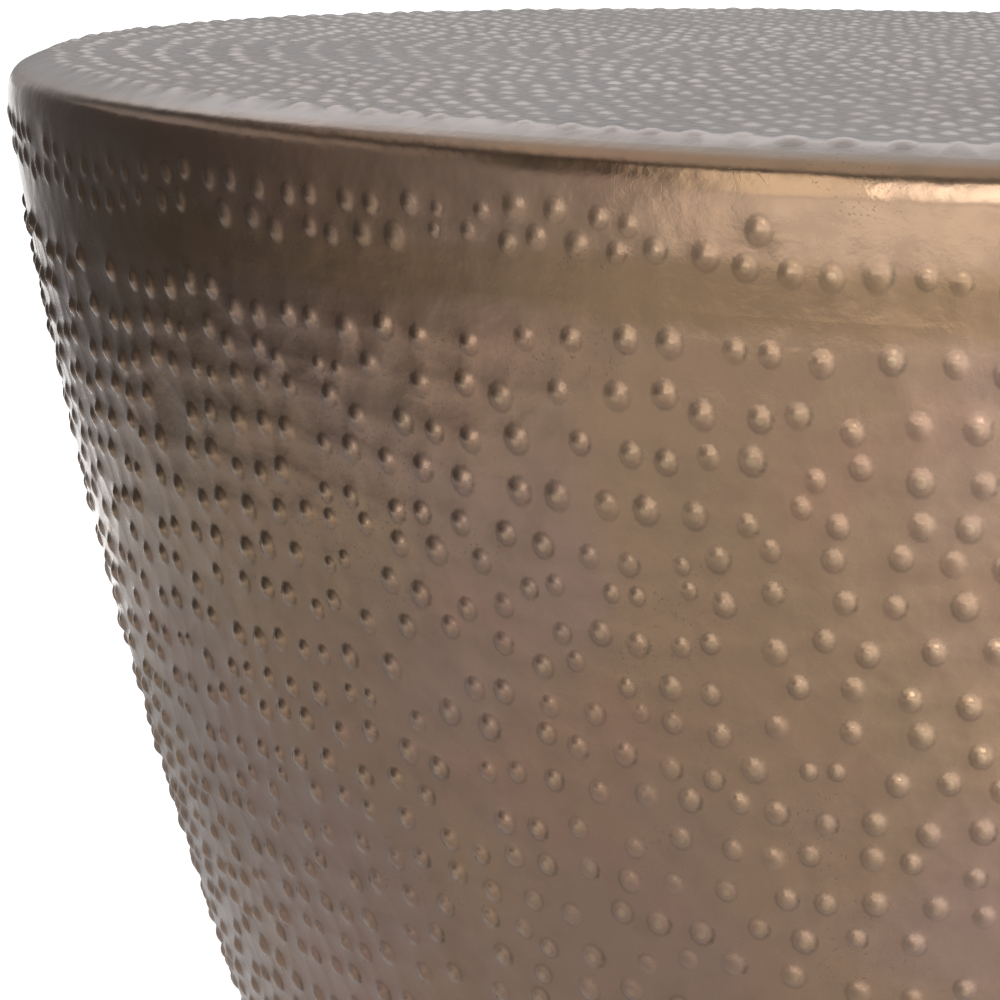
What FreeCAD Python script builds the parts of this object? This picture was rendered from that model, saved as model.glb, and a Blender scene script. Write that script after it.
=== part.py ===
import FreeCAD, Part
import math
import os
import Sketcher

# Hammered drum coffee table. Millimetres, +Z up, origin on the floor under the middle of the top.
doc = FreeCAD.newDocument("hammered_drum_table")

# Driving dimensions, each a cell with its own alias.
DIMENSIONS = {
    "table_height": 430,
    "top_diameter": 760,
    "base_diameter": 556,
    "joint_diameter": 749.4,
    "wall_bow_radius": 2200,
    "sheet_gauge": 1.2,
    "rim_crown_inset": 27.7,
    "rim_crown_rise": 1.2,
    "rim_slope_width": 4.1,
    "rim_border_width": 22.4,
    "rim_border_radius": 47.7,
    "rim_edge_radius": 7.7,
    "rim_side_radius": 24,
    "bump_diameter": 8.6,
    "bump_height": 1.2,
    "bump_spacing": 37,
    "skirt_depth": 50,
    "skirt_lean": 0.181,
    "lap_depth": 12,
    "lap_gap": 0.2,
    "joggle_depth": 3,
    "seam_gap": 0.4,
    "seam_angle": 0.1,
    "strap_angle": 5,
    "strap_inset": 10,
    "braze_gap": 0.1,
    "board_thickness": 12,
    "board_diameter": 716,
    "board_chamfer": 2,
    "pilot_diameter": 4.2,
    "pilot_depth": 9.5,
    "bar_gauge": 4,
    "upper_ring_inset": 2.4,
    "upper_ring_width": 47.6,
    "upper_screw_circle": 690,
    "bar_screw_circle": 330,
    "bar_width": 40,
    "bar_end_gap": 0.8,
    "bar_notch_gap": 0.2,
    "screw_hole": 4.6,
    "strut_gauge": 5,
    "strut_width": 30,
    "strut_top_circle": 700,
    "base_ring_width": 40,
    "base_lean": 0.35,
    "weld_gap": 0.3,
    "foot_height": 8,
    "foot_circle": 512,
    "foot_top_diameter": 34,
    "foot_tread_diameter": 30,
    "foot_recess_diameter": 13,
    "foot_recess_depth": 5,
    "foot_bore": 6.4,
    "foot_hole": 6.6,
    "foot_screw_diameter": 6,
    "foot_screw_head": 11,
    "foot_screw_head_height": 3.5,
    "foot_screw_spare": 2,
    "washer_diameter": 12.5,
    "washer_gauge": 1.6,
    "nut_flats": 10,
    "nut_height": 5,
    "wood_screw_diameter": 4,
    "wood_screw_length": 13,
    "wood_screw_head": 8,
    "wood_screw_head_height": 2.5,
}
FOOT_ANGLES = {"right": 0, "back": 90, "left": 180, "front": 270}
STRUT_ANGLES = {"back_right": 45, "back_left": 135, "front_left": 225, "front_right": 315}
BUMP_RINGS = 9
RING_SCREWS = 8
RING_SCREW_TURN = 22.5
BAR_SCREWS = 4

sheet = doc.addObject("Spreadsheet::Sheet", "dims")
for row, (alias, number) in enumerate(DIMENSIONS.items(), start=1):
    sheet.set(f"A{row}", str(number))
    sheet.setAlias(f"A{row}", alias)
doc.recompute()


class Size:
    """A length, both as a number and as the expression on the sheet that gives it."""

    def __init__(self, value, text):
        self.value = value
        self.text = text

    def __add__(self, other):
        other = as_size(other)
        return Size(self.value + other.value, f"({self.text} + {other.text})")

    def __sub__(self, other):
        other = as_size(other)
        return Size(self.value - other.value, f"({self.text} - {other.text})")

    def __mul__(self, other):
        other = as_size(other)
        return Size(self.value * other.value, f"({self.text} * {other.text})")

    def __truediv__(self, other):
        other = as_size(other)
        return Size(self.value / other.value, f"({self.text} / {other.text})")

    def turned(self, degrees):
        """The two coordinates of a point this far from the axis, at an angle about it."""
        angle = math.radians(degrees)
        across = Size(self.value * math.cos(angle), f"({self.text} * cos({degrees} deg))")
        along = Size(self.value * math.sin(angle), f"({self.text} * sin({degrees} deg))")
        return across, along


def as_size(number):
    if isinstance(number, Size):
        return number
    return Size(number, str(number))


def dim(alias):
    return Size(DIMENSIONS[alias], f"dims.{alias}")


def bind(owner, property_path, size):
    """Ties a property to the sheet."""
    owner.setExpression(property_path, size.text)


def new_body(label):
    body = doc.addObject("PartDesign::Body", label)
    body.Label = label
    return body


def origin_feature(body, role):
    return next(feature for feature in body.Origin.OriginFeatures if feature.Role == role)


def new_sketch(body, name, role):
    sketch = body.newObject("Sketcher::SketchObject", name)
    sketch.AttachmentSupport = (origin_feature(body, role), [""])
    sketch.MapMode = "FlatFace"
    return sketch


def constrain(sketch, size, *terms):
    """Adds a constraint that carries a size, and ties that size to the sheet."""
    index = sketch.addConstraint(Sketcher.Constraint(*terms, size.value))
    bind(sketch, f"Constraints[{index}]", size)


def arc_between(start, end, radius, turn):
    """The short arc from start to end. Turn is 1 for anticlockwise and -1 for clockwise."""
    middle = (start + end) * 0.5
    half = (end - start) * 0.5
    reach = math.sqrt(radius**2 - half.Length**2) / half.Length
    centre = middle + FreeCAD.Vector(-half.y, half.x, 0) * reach * turn
    first, last = (start, end) if turn > 0 else (end, start)
    angles = [math.atan2(point.y - centre.y, point.x - centre.x) for point in (first, last)]
    if angles[1] < angles[0]:
        angles[1] += 2 * math.pi
    circle = Part.Circle(centre, FreeCAD.Vector(0, 0, 1), radius)
    return Part.ArcOfCircle(circle, *angles)


class Outline:
    """A closed loop of corners in a sketch. A corner is a pair of sizes; a plain number in the
    pair is only a first guess, and the constraints given afterwards settle it."""

    START, END, CENTRE = 1, 2, 3
    ORIGIN, ORIGIN_POINT, UPRIGHT_AXIS = -1, 1, -2

    def __init__(self, sketch, corners, arcs=None, tangent_corners=()):
        self.sketch = sketch
        self.arcs = arcs or {}
        points = [self.first_guess(corner) for corner in corners]
        count = len(points)
        self.sides = [
            self.add_side(side, points[side], points[(side + 1) % count]) for side in range(count)
        ]
        for corner, sizes in enumerate(corners):
            before = (corner - 1) % count
            ends = (*self.end_of(before, self.END), *self.end_of(corner, self.START))
            kind = "Tangent" if corner in tangent_corners else "Coincident"
            sketch.addConstraint(Sketcher.Constraint(kind, *ends))
            self.place(corner, *sizes)

    @staticmethod
    def first_guess(corner):
        across, up = (as_size(size).value for size in corner)
        return FreeCAD.Vector(across, up, 0)

    def add_side(self, side, start, end):
        if side not in self.arcs:
            return self.sketch.addGeometry(Part.LineSegment(start, end), False)
        radius, turn = self.arcs[side]
        arc = self.sketch.addGeometry(arc_between(start, end, radius.value, turn), False)
        constrain(self.sketch, radius, "Radius", arc)
        return arc

    def end_of(self, side, end):
        """An anticlockwise side starts at its first corner, and a clockwise arc ends there."""
        if side in self.arcs and self.arcs[side][1] < 0:
            end = self.START + self.END - end
        return self.sides[side], end

    def place(self, corner, across, up):
        geometry, end = self.end_of(corner, self.START)
        if isinstance(across, Size):
            origin = (self.ORIGIN, self.ORIGIN_POINT)
            constrain(self.sketch, across, "DistanceX", *origin, geometry, end)
        elif across == 0:
            on_axis = Sketcher.Constraint("PointOnObject", geometry, end, self.UPRIGHT_AXIS)
            self.sketch.addConstraint(on_axis)
        if isinstance(up, Size):
            origin = (self.ORIGIN, self.ORIGIN_POINT)
            constrain(self.sketch, up, "DistanceY", *origin, geometry, end)
        elif up == 0:
            on_axis = Sketcher.Constraint("PointOnObject", geometry, end, self.ORIGIN)
            self.sketch.addConstraint(on_axis)

    def make_parallel(self, side, other):
        self.sketch.addConstraint(Sketcher.Constraint("Parallel", self.sides[side], self.sides[other]))

    def place_centre(self, side, across):
        origin = (self.ORIGIN, self.ORIGIN_POINT)
        constrain(self.sketch, across, "DistanceX", *origin, self.sides[side], self.CENTRE)

    def share_centre(self, side, arc):
        ends = (self.sides[side], self.CENTRE, arc, self.CENTRE)
        self.sketch.addConstraint(Sketcher.Constraint("Coincident", *ends))


def revolve(body, sketch, angle=None):
    """Turns a profile about the upright axis, fully or through an angle either side of its plane."""
    turn = body.newObject("PartDesign::Revolution", f"{body.Name}_turn")
    turn.Profile = (sketch, [""])
    turn.ReferenceAxis = (sketch, ["V_Axis"])
    turn.Angle = 360
    if angle is not None:
        turn.Midplane = True
        bind(turn, "Angle", angle)
    return turn


def pad(body, sketch, length, symmetric=False):
    block = body.newObject("PartDesign::Pad", f"{sketch.Name}_pad")
    block.Profile = (sketch, [""])
    if symmetric:
        block.SideType = "Symmetric"
    bind(block, "Length", length)
    return block


def pocket_up(body, sketch, depth):
    """Cuts from the sketch upwards, and makes sure that it took metal or wood away."""
    doc.recompute()
    before = body.Shape.Volume
    cut = body.newObject("PartDesign::Pocket", f"{sketch.Name}_cut")
    cut.Profile = (sketch, [""])
    cut.Reversed = True
    bind(cut, "Length", depth)
    doc.recompute()
    if body.Shape.Volume >= before:
        raise RuntimeError(f"{sketch.Name} cut nothing")
    return cut


def repeat_round(body, feature, count):
    pattern = body.newObject("PartDesign::PolarPattern", f"{feature.Name}_round")
    pattern.Originals = [feature]
    pattern.Axis = (origin_feature(body, "Z_Axis"), [""])
    pattern.Angle = 360
    pattern.Occurrences = count
    body.Tip = pattern


def circle_in(sketch, centre, diameter):
    """A circle whose centre is a pair of sizes from the origin."""
    start = Outline.first_guess(centre)
    round_ = Part.Circle(start, FreeCAD.Vector(0, 0, 1), diameter.value / 2)
    geometry = sketch.addGeometry(round_, False)
    constrain(sketch, diameter, "Diameter", geometry)
    centre_point = (geometry, Outline.CENTRE)
    for kind, size, axis in zip(
        ("DistanceX", "DistanceY"), centre, (Outline.UPRIGHT_AXIS, Outline.ORIGIN)
    ):
        if isinstance(size, Size):
            origin = (Outline.ORIGIN, Outline.ORIGIN_POINT)
            constrain(sketch, size, kind, *origin, *centre_point)
        else:
            sketch.addConstraint(Sketcher.Constraint("PointOnObject", *centre_point, axis))


def holes_round(body, name, centre, diameter, depth, count):
    sketch = new_sketch(body, name, "XY_Plane")
    circle_in(sketch, centre, diameter)
    repeat_round(body, pocket_up(body, sketch, depth), count)


def lift(part, height):
    bind(part, "Placement.Base.z", height)


def turn_about_axis(part, degrees):
    part.Placement = FreeCAD.Placement(
        FreeCAD.Vector(0, 0, 0), FreeCAD.Rotation(FreeCAD.Vector(0, 0, 1), degrees)
    )


# Heights and radii that several pieces share.
gauge = dim("sheet_gauge")
bar_gauge = dim("bar_gauge")
top_radius = dim("top_diameter") / 2
base_radius = dim("base_diameter") / 2
joint_radius = dim("joint_diameter") / 2
joint_height = dim("table_height") - dim("skirt_depth")
field_height = dim("table_height") - dim("rim_crown_rise")
board_foot = field_height - gauge - dim("board_thickness")
upper_ring_foot = board_foot - bar_gauge
base_ring_top = dim("foot_height") + bar_gauge
wall_top = joint_height - dim("seam_gap")
bow = dim("wall_bow_radius")
foot_radius = dim("foot_circle") / 2

parts = []


def rim_guess(depth):
    """Roughly where the border, the edge, the side of the rim and the skirt meet, from the top down."""
    border, edge, side = (dim(f"rim_{name}_radius").value for name in ("border", "edge", "side"))
    crown = top_radius.value - dim("rim_crown_inset").value
    slant = math.asin(dim("rim_border_width").value / border)
    edge_across = crown + (border - edge) * math.sin(slant)
    edge_up = dim("table_height").value - border + (border - edge) * math.cos(slant)
    side_across = top_radius.value - side
    side_up = edge_up - math.sqrt((side - edge) ** 2 - (edge_across - side_across) ** 2)
    rise = math.atan2(edge_up - side_up, edge_across - side_across)
    lean = math.atan(dim("skirt_lean").value)
    return [
        (edge_across + (edge - depth) * math.sin(slant), edge_up + (edge - depth) * math.cos(slant)),
        (side_across + (side - depth) * math.cos(rise), side_up + (side - depth) * math.sin(rise)),
        (side_across + (side - depth) * math.cos(lean), side_up - (side - depth) * math.sin(lean)),
    ]


def make_top_pan():
    """Top sheet: a flat field, a smooth border that falls to a rounded edge, and a skirt that leans in."""
    body = new_body("top_pan")
    sketch = new_sketch(body, "pan_profile", "XZ_Plane")
    crown = top_radius - dim("rim_crown_inset")
    field_edge = crown - dim("rim_slope_width")
    crown_under = dim("table_height") - gauge
    field_under = field_height - gauge
    border_radius = dim("rim_border_radius")
    border_end = crown + dim("rim_border_width")
    border_end_under = border_end - dim("rim_border_width") * gauge / border_radius
    outer_guess = rim_guess(0)
    inner_guess = rim_guess(gauge.value)
    corners = [
        (0, field_under),
        (field_edge, field_under),
        (crown, crown_under),
        (border_end_under, inner_guess[0][1]),
        inner_guess[1],
        inner_guess[2],
        ((joint_radius - gauge).value, joint_height),
        (joint_radius, joint_height),
        outer_guess[2],
        outer_guess[1],
        (border_end, outer_guess[0][1]),
        (crown, dim("table_height")),
        (field_edge, field_height),
        (0, field_height),
    ]
    inner_border, inner_edge, inner_side, inner_skirt = 2, 3, 4, 5
    outer_skirt, outer_side, outer_edge, outer_border = 7, 8, 9, 10
    arcs = {
        inner_border: (border_radius - gauge, -1),
        inner_edge: (dim("rim_edge_radius") - gauge, -1),
        inner_side: (dim("rim_side_radius") - gauge, -1),
        outer_side: (dim("rim_side_radius"), 1),
        outer_edge: (dim("rim_edge_radius"), 1),
        outer_border: (border_radius, 1),
    }
    outline = Outline(sketch, corners, arcs, tangent_corners=(3, 4, 5, 8, 9, 10))
    for border, side in ((inner_border, inner_side), (outer_border, outer_side)):
        outline.place_centre(border, crown)
        outline.place_centre(side, top_radius - dim("rim_side_radius"))
    outline.make_parallel(inner_skirt, outer_skirt)
    revolve(body, sketch)
    raise_bumps(body)
    parts.append(body)


def raise_bumps(body):
    """The main bumps of the hammered field: rings of low domes that stand on the sheet."""
    height = dim("bump_height")
    foot = dim("bump_diameter") / 2
    radius = (foot * foot + height * height) / (height * 2)
    root = gauge / 3
    cut = (radius - height - root) / radius
    lowest = Size(math.degrees(math.asin(cut.value)), f"asin({cut.text})")
    for ring in range(BUMP_RINGS):
        dome = body.newObject("PartDesign::AdditiveSphere", f"bump_ring_{ring + 1}")
        dome.Angle2 = 90
        bind(dome, "Angle1", lowest)
        bind(dome, "Radius", radius)
        bind(dome, "Placement.Base.x", dim("bump_spacing") * (ring + 0.5))
        bind(dome, "Placement.Base.z", field_height + height - radius)
        repeat_round(body, dome, round(2 * math.pi * (ring + 0.5)))


def make_wall_half(name, degrees):
    """Half of the drum wall: a bowed sheet with a tongue joggled in behind the skirt of the top."""
    body = new_body(name)
    sketch = new_sketch(body, f"{name}_profile", "YZ_Plane")
    tongue_foot = joint_radius - gauge - dim("lap_gap")
    tongue_height = joint_height + dim("lap_depth")
    tongue_top = tongue_foot + (tongue_height - wall_top) * dim("skirt_lean")
    joggle = dim("joggle_depth")
    corners = [
        (base_radius, dim("foot_height")),
        (joint_radius, wall_top),
        (tongue_foot, wall_top),
        (tongue_top, tongue_height),
        (tongue_top - gauge, tongue_height),
        (tongue_foot - gauge, joint_height - joggle),
        ((joint_radius - gauge * 2).value, joint_height - joggle * 2),
        ((base_radius - gauge).value, dim("foot_height")),
    ]
    outer, inner = 0, 6
    outline = Outline(sketch, corners, {outer: (bow, 1), inner: (bow - gauge, -1)})
    outline.share_centre(inner, outline.sides[outer])
    revolve(body, sketch, as_size(180) - dim("seam_angle"))
    turn_about_axis(body, degrees)
    parts.append(body)


def make_seam_strap(name, degrees):
    """Backing strip behind an upright seam, bent to the inside of the wall."""
    body = new_body(name)
    sketch = new_sketch(body, f"{name}_profile", "XZ_Plane")
    foot = base_ring_top + dim("strap_inset")
    head = joint_height - dim("strap_inset")
    start = (base_radius, dim("foot_height"))
    end = (joint_radius, wall_top)
    guide_arc = arc_between(Outline.first_guess(start), Outline.first_guess(end), bow.value, 1)
    guide = sketch.addGeometry(guide_arc, True)
    constrain(sketch, bow, "Radius", guide)
    origin = (Outline.ORIGIN, Outline.ORIGIN_POINT)
    for point, position in ((start, Outline.START), (end, Outline.END)):
        constrain(sketch, point[0], "DistanceX", *origin, guide, position)
        constrain(sketch, point[1], "DistanceY", *origin, guide, position)
    outer_bow = bow - gauge - dim("braze_gap")
    corners = [
        ((base_radius + dim("strap_inset") / 4).value, foot),
        ((joint_radius - gauge * 3).value, head),
        ((joint_radius - gauge * 4).value, head),
        (base_radius.value, foot),
    ]
    outer, inner = 0, 2
    outline = Outline(sketch, corners, {outer: (outer_bow, 1), inner: (outer_bow - gauge, -1)})
    outline.share_centre(outer, guide)
    outline.share_centre(inner, guide)
    revolve(body, sketch, dim("strap_angle"))
    turn_about_axis(body, degrees)
    parts.append(body)


def make_top_board():
    """Plywood disc under the top sheet, with blind pilot holes for its screws."""
    body = new_body("top_board")
    sketch = new_sketch(body, "board_profile", "XZ_Plane")
    edge = dim("board_diameter") / 2
    top = dim("board_thickness")
    chamfer = dim("board_chamfer")
    corners = [(0, 0), (edge, 0), (edge, top - chamfer), (edge - chamfer, top), (0, top)]
    Outline(sketch, corners)
    revolve(body, sketch)
    ring_circle = (dim("upper_screw_circle") / 2).turned(RING_SCREW_TURN)
    bar_circle = (dim("bar_screw_circle") / 2, 0)
    pilot = (dim("pilot_diameter"), dim("pilot_depth"))
    holes_round(body, "ring_pilot", ring_circle, *pilot, RING_SCREWS)
    holes_round(body, "bar_pilot", bar_circle, *pilot, BAR_SCREWS)
    lift(body, board_foot)
    parts.append(body)


def make_upper_ring():
    """Flat steel ring under the edge of the board, drilled for the board's screws."""
    body = new_body("upper_ring")
    sketch = new_sketch(body, "upper_ring_profile", "XZ_Plane")
    outer = top_radius - dim("upper_ring_inset")
    inner = outer - dim("upper_ring_width")
    Outline(sketch, [(inner, 0), (outer, 0), (outer, bar_gauge), (inner, bar_gauge)])
    revolve(body, sketch)
    centre = (dim("upper_screw_circle") / 2).turned(RING_SCREW_TURN)
    holes_round(body, "upper_ring_hole", centre, dim("screw_hole"), bar_gauge, RING_SCREWS)
    lift(body, upper_ring_foot)
    parts.append(body)


def make_cross_bar(name, degrees, notch_foot):
    """Flat bar inside the upper ring, halved at its middle to cross the other bar."""
    body = new_body(name)
    sketch = new_sketch(body, f"{name}_plan", "XY_Plane")
    ring_inside = top_radius - dim("upper_ring_inset") - dim("upper_ring_width")
    reach = ring_inside - dim("bar_end_gap")
    side = dim("bar_width") / 2
    left = as_size(0) - reach
    near = as_size(0) - side
    Outline(sketch, [(left, near), (reach, near), (reach, side), (left, side)])
    pad(body, sketch, bar_gauge)
    notch = new_sketch(body, f"{name}_notch", "XY_Plane")
    bind(notch, "AttachmentOffset.Base.z", notch_foot)
    notch_left = as_size(0) - side - dim("bar_notch_gap")
    notch_right = side + dim("bar_notch_gap")
    notch_near = near - side
    notch_far = side * 2
    notch_corners = [
        (notch_left, notch_near),
        (notch_right, notch_near),
        (notch_right, notch_far),
        (notch_left, notch_far),
    ]
    Outline(notch, notch_corners)
    pocket_up(body, notch, bar_gauge / 2)
    centre = (dim("bar_screw_circle") / 2, 0)
    holes_round(body, f"{name}_hole", centre, dim("screw_hole"), bar_gauge, BAR_SCREWS // 2)
    turn_about_axis(body, degrees)
    lift(body, upper_ring_foot)
    parts.append(body)


def make_strut(name, degrees):
    """Flat bar that leans out from the base ring to the upper ring, cut level at both ends."""
    body = new_body(name)
    sketch = new_sketch(body, f"{name}_side", "XZ_Plane")
    half = dim("strut_gauge") / 2
    top_middle = dim("strut_top_circle") / 2
    corners = [
        (foot_radius - half, base_ring_top),
        (foot_radius + half, base_ring_top),
        (top_middle + half, upper_ring_foot),
        (top_middle - half, upper_ring_foot),
    ]
    Outline(sketch, corners)
    pad(body, sketch, dim("strut_width"), symmetric=True)
    turn_about_axis(body, degrees)
    parts.append(body)


def make_base_ring():
    """Flat steel ring inside the foot of the wall, with an edge ground to the wall's lean."""
    body = new_body("base_ring")
    sketch = new_sketch(body, "base_ring_profile", "XZ_Plane")
    outer = base_radius - gauge - dim("weld_gap")
    inner = outer - dim("base_ring_width")
    lean = bar_gauge * dim("base_lean")
    Outline(sketch, [(inner, 0), (outer, 0), (outer + lean, bar_gauge), (inner, bar_gauge)])
    revolve(body, sketch)
    holes_round(body, "foot_hole", (foot_radius, 0), dim("foot_hole"), bar_gauge, len(FOOT_ANGLES))
    lift(body, dim("foot_height"))
    parts.append(body)


def make_foot(name, degrees):
    """Rubber foot: a stub cone with a bore for its screw and a recess for the screw's head."""
    body = new_body(name)
    sketch = new_sketch(body, f"{name}_profile", "XZ_Plane")
    recess = dim("foot_recess_diameter") / 2
    bore = dim("foot_bore") / 2
    corners = [
        (recess, 0),
        (dim("foot_tread_diameter") / 2, 0),
        (dim("foot_top_diameter") / 2, dim("foot_height")),
        (bore, dim("foot_height")),
        (bore, dim("foot_recess_depth")),
        (recess, dim("foot_recess_depth")),
    ]
    Outline(sketch, corners)
    revolve(body, sketch)
    move_round(body, foot_radius, degrees, as_size(0))
    parts.append(body)


def move_round(part, radius, degrees, height):
    """Puts a piece on a circle about the axis, at an angle and a height."""
    across, along = radius.turned(degrees)
    bind(part, "Placement.Base.x", across)
    bind(part, "Placement.Base.y", along)
    bind(part, "Placement.Base.z", height)


def cylinder(name, diameter, height, foot=None):
    piece = doc.addObject("Part::Cylinder", name)
    bind(piece, "Radius", diameter / 2)
    bind(piece, "Height", height)
    if foot is not None:
        bind(piece, "Placement.Base.z", foot)
    return piece


def make_screw(name, head, head_height, shank, shank_length):
    """Screw standing on its head, fused from a head and a shank."""
    screw = doc.addObject("Part::Fuse", name)
    screw.Base = cylinder(f"{name}_head", head, head_height)
    screw.Tool = cylinder(f"{name}_shank", shank, shank_length + head_height)
    return screw


def make_bored(name, blank, bore, height):
    """A washer or nut: a blank with a hole through it."""
    piece = doc.addObject("Part::Cut", name)
    piece.Base = blank
    piece.Tool = cylinder(f"{name}_bore", bore, height)
    return piece


def nut_blank(name):
    prism = doc.addObject("Part::Prism", name)
    prism.Polygon = 6
    corner_over_flat = 1 / math.cos(math.radians(30))
    bind(prism, "Circumradius", dim("nut_flats") / 2 * corner_over_flat)
    bind(prism, "Height", dim("nut_height"))
    return prism


def group(label, pieces):
    compound = doc.addObject("Part::Compound", label)
    compound.Label = label
    compound.Links = pieces
    parts.append(compound)


def make_foot_fixings():
    """Screws up through the feet and the base ring, each with a washer and a nut on top."""
    head_foot = dim("foot_recess_depth") - dim("foot_screw_head_height")
    nut_foot = base_ring_top + dim("washer_gauge")
    shank_top = nut_foot + dim("nut_height") + dim("foot_screw_spare")
    shank_length = shank_top - dim("foot_recess_depth")
    screw_sizes = (
        dim("foot_screw_head"),
        dim("foot_screw_head_height"),
        dim("foot_screw_diameter"),
        shank_length,
    )
    screws, washers, nuts = [], [], []
    for side, degrees in FOOT_ANGLES.items():
        screw = make_screw(f"foot_screw_{side}", *screw_sizes)
        move_round(screw, foot_radius, degrees, head_foot)
        screws.append(screw)
        disc = cylinder(f"washer_blank_{side}", dim("washer_diameter"), dim("washer_gauge"))
        washer = make_bored(f"washer_{side}", disc, dim("foot_bore"), dim("washer_gauge"))
        move_round(washer, foot_radius, degrees, base_ring_top)
        washers.append(washer)
        hexagon = nut_blank(f"nut_blank_{side}")
        nut = make_bored(f"nut_{side}", hexagon, dim("foot_screw_diameter"), dim("nut_height"))
        move_round(nut, foot_radius, degrees, nut_foot)
        nuts.append(nut)
    group("foot_screws", screws)
    group("foot_washers", washers)
    group("foot_nuts", nuts)


def make_board_screws():
    """Wood screws from below, eight through the upper ring and four through the cross bars."""
    head_foot = upper_ring_foot - dim("wood_screw_head_height")
    screw_sizes = (
        dim("wood_screw_head"),
        dim("wood_screw_head_height"),
        dim("wood_screw_diameter"),
        dim("wood_screw_length"),
    )
    circles = (
        (dim("upper_screw_circle") / 2, RING_SCREWS, RING_SCREW_TURN),
        (dim("bar_screw_circle") / 2, BAR_SCREWS, 0),
    )
    screws = []
    for radius, count, first_angle in circles:
        for index in range(count):
            screw = make_screw(f"board_screw_{len(screws) + 1}", *screw_sizes)
            move_round(screw, radius, first_angle + 360 / count * index, head_foot)
            screws.append(screw)
    group("board_screws", screws)


make_top_pan()
make_wall_half("wall_back", 0)
make_wall_half("wall_front", 180)
make_seam_strap("seam_strap_right", 0)
make_seam_strap("seam_strap_left", 180)
make_top_board()
make_upper_ring()
make_cross_bar("cross_bar_left_right", 0, bar_gauge / 2)
make_cross_bar("cross_bar_front_back", 90, as_size(0))
for corner_name, corner_angle in STRUT_ANGLES.items():
    make_strut(f"strut_{corner_name}", corner_angle)
make_base_ring()
for side_name, side_angle in FOOT_ANGLES.items():
    make_foot(f"foot_{side_name}", side_angle)
make_foot_fixings()
make_board_screws()
doc.recompute()

failed = [item.Name for item in doc.Objects if {"Invalid", "Error"} & set(item.State)]
failed += [part.Label for part in parts if part.Shape.isNull() or not part.Shape.isValid()]
if failed:
    raise RuntimeError(f"these did not build: {failed}")

os.makedirs("parts", exist_ok=True)
for part in parts:
    part.Shape.exportStep(f"parts/{part.Label}.step")
    print(part.Label, len(part.Shape.Solids), round(part.Shape.Volume / 1000, 2), "cm3")
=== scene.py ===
import math

import bpy
from mathutils import Matrix, Vector


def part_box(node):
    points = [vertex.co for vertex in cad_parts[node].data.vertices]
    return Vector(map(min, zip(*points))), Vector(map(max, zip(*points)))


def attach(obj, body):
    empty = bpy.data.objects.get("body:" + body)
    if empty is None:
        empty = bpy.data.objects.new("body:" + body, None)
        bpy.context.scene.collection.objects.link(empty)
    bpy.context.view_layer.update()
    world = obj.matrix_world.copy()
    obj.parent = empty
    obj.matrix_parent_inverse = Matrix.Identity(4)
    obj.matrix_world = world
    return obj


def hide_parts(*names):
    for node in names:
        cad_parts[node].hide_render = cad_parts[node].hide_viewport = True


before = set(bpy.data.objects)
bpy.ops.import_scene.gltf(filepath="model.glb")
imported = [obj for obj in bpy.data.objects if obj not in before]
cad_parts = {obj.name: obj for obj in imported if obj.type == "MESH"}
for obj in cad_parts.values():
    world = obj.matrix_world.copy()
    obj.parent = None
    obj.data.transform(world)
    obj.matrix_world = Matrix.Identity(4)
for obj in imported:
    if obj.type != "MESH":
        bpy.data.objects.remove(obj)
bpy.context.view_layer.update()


# Feet: four stub cones of moulded black rubber that hold the drum off the floor.
# Each is held under the base ring by a zinc-plated steel screw with a washer and a nut above.
class Wire:
    """An output of a node, on which sums are written as plain expressions."""

    def __init__(self, graph, socket):
        self.graph = graph
        self.socket = socket

    def __add__(self, other):
        return self.graph.sum("ADD", self, other)

    def __sub__(self, other):
        return self.graph.sum("SUBTRACT", self, other)

    def __mul__(self, other):
        return self.graph.sum("MULTIPLY", self, other)

    def __truediv__(self, other):
        return self.graph.sum("DIVIDE", self, other)

    def __mod__(self, other):
        return self.graph.sum("FLOORED_MODULO", self, other)

    def __lt__(self, other):
        return self.graph.sum("LESS_THAN", self, other)

    def __gt__(self, other):
        return self.graph.sum("GREATER_THAN", self, other)

    def __radd__(self, other):
        return self.graph.sum("ADD", other, self)

    def __rsub__(self, other):
        return self.graph.sum("SUBTRACT", other, self)

    def __rtruediv__(self, other):
        return self.graph.sum("DIVIDE", other, self)

    def __abs__(self):
        return self.graph.sum("ABSOLUTE", self)

    def floor(self):
        return self.graph.sum("FLOOR", self)

    def round(self):
        return self.graph.sum("ROUND", self)

    def root(self):
        return self.graph.sum("SQRT", self)

    def sin(self):
        return self.graph.sum("SINE", self)

    def cos(self):
        return self.graph.sum("COSINE", self)

    def least(self, other):
        return self.graph.sum("MINIMUM", self, other)

    def most(self, other):
        return self.graph.sum("MAXIMUM", self, other)

    def ramp(self, low, high, start=0.0, end=1.0):
        """Runs smoothly from start to end as this value goes from low to high."""
        sockets = {0: self, 1: low, 2: high, 3: start, 4: end}
        return self.graph.node("ShaderNodeMapRange", {"interpolation_type": "SMOOTHSTEP"}, sockets)[0]

    def parts(self):
        """The three numbers of a vector."""
        split = self.graph.node("ShaderNodeSeparateXYZ", {}, {0: self})
        return split[0], split[1], split[2]


class Made:
    """A node that has been added, whose outputs are read by name or number."""

    def __init__(self, graph, node):
        self.graph = graph
        self.own = node

    def __getitem__(self, key):
        return Wire(self.graph, self.own.outputs[key])


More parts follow.
